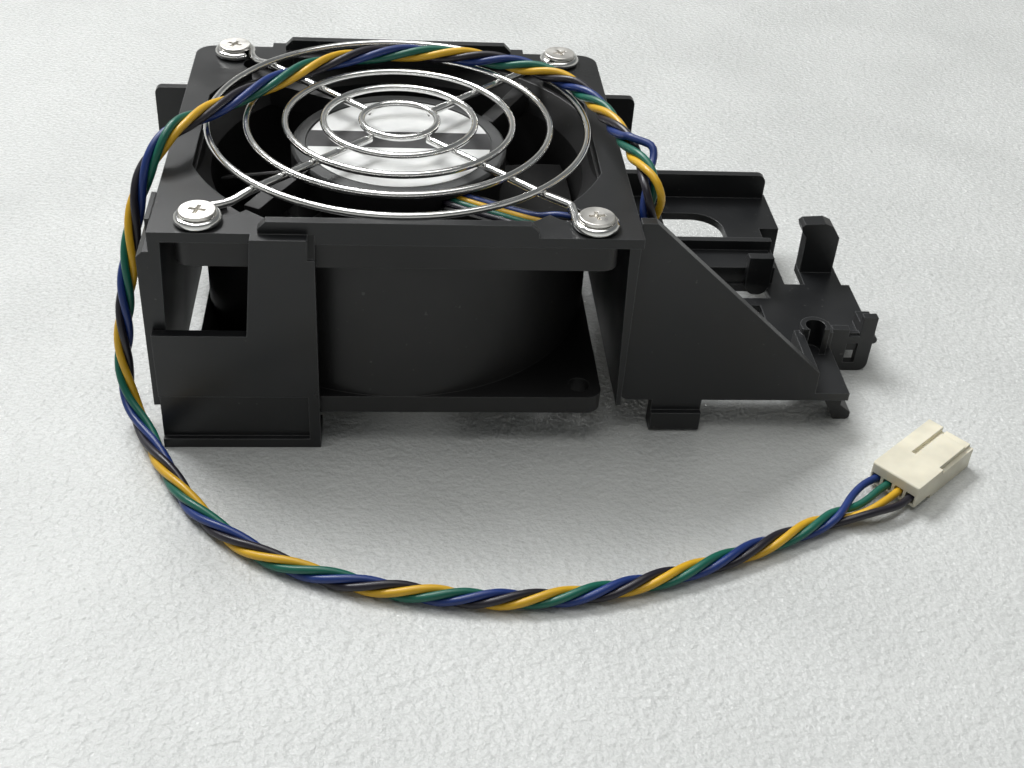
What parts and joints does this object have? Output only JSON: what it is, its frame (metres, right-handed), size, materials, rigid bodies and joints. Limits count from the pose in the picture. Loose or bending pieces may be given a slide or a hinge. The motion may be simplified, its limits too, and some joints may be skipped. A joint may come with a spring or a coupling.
{
  "type": "server fan module",
  "caption": "Axial server fan with wire finger guard, screwed into a moulded snap-in bracket with a side tray, and a twisted lead ending in a small plug.",
  "frame": {"origin": "centre of the fan's four intake-side flange holes, on the fan's axis at its intake face", "axes": "+Z along the fan's axis from the intake face towards the wire guard, +X towards the side tray, +Y towards the back"},
  "size_m": [0.1699, 0.1293, 0.0555],
  "materials": {
    "black_abs": "semi-gloss moulded",
    "black_pbt": "semi-gloss moulded",
    "label_vinyl": "satin",
    "guard_chrome": "bright plated",
    "nickel_steel": "nickel plated",
    "zinc_steel": "zinc plated",
    "ferrite": "bonded ferrite",
    "brass": "turned",
    "bright_steel": "ground",
    "white_nylon": "moulded",
    "lamination_steel": "stamped",
    "enamelled_copper": "enamelled wire",
    "board_laminate": "solder mask",
    "component_epoxy": "moulded",
    "wire_pvc": "glossy insulation",
    "ivory_nylon": "moulded",
    "tinned_brass": "tinned"
  },
  "bodies": {
    "housing": {"bracket_cradle": "black_abs", "bracket_side_tray": "black_abs", "fan_frame": "black_pbt", "motor_base": "black_pbt", "motor_label": "label_vinyl", "wire_guard": "guard_chrome", "guard_screws": "nickel_steel", "lower_bearing_outer_ring": "bright_steel", "upper_bearing_outer_ring": "bright_steel", "stator_core": "lamination_steel", "lower_insulator": "white_nylon", "upper_insulator": "white_nylon", "stator_windings": "enamelled_copper", "circuit_board": "board_laminate", "board_components": "component_epoxy", "captive_wires": "wire_pvc", "fan_lead": "wire_pvc", "plug_housing": "ivory_nylon", "crimp_terminals": "tinned_brass"},
    "rotor": {"impeller": "black_pbt", "rotor_yoke": "zinc_steel", "magnet_ring": "ferrite", "shaft_boss": "brass", "shaft": "bright_steel", "preload_spring": "bright_steel", "retaining_clip": "white_nylon", "lower_bearing_inner_ring": "bright_steel", "upper_bearing_inner_ring": "bright_steel"},
    "lower_balls": {"lower_ball_train": "bright_steel"},
    "upper_balls": {"upper_ball_train": "bright_steel"}
  },
  "joints": [
    {"name": "impeller_spin", "type": "hinge", "parent": "housing", "child": "rotor", "pos_m": [0, 0, 0], "axis": [0, 0, 1], "continuous": true},
    {"name": "lower_ball_orbit", "type": "hinge", "parent": "housing", "child": "lower_balls", "pos_m": [0, 0, 0.0108], "axis": [0, 0, 1], "continuous": true},
    {"name": "upper_ball_orbit", "type": "hinge", "parent": "housing", "child": "upper_balls", "pos_m": [0, 0, 0.031], "axis": [0, 0, 1], "continuous": true}
  ],
  "couplings": [
    {"joint": "lower_ball_orbit", "follows": "impeller_spin", "ratio": 0.3727},
    {"joint": "upper_ball_orbit", "follows": "impeller_spin", "ratio": 0.3727}
  ]
}
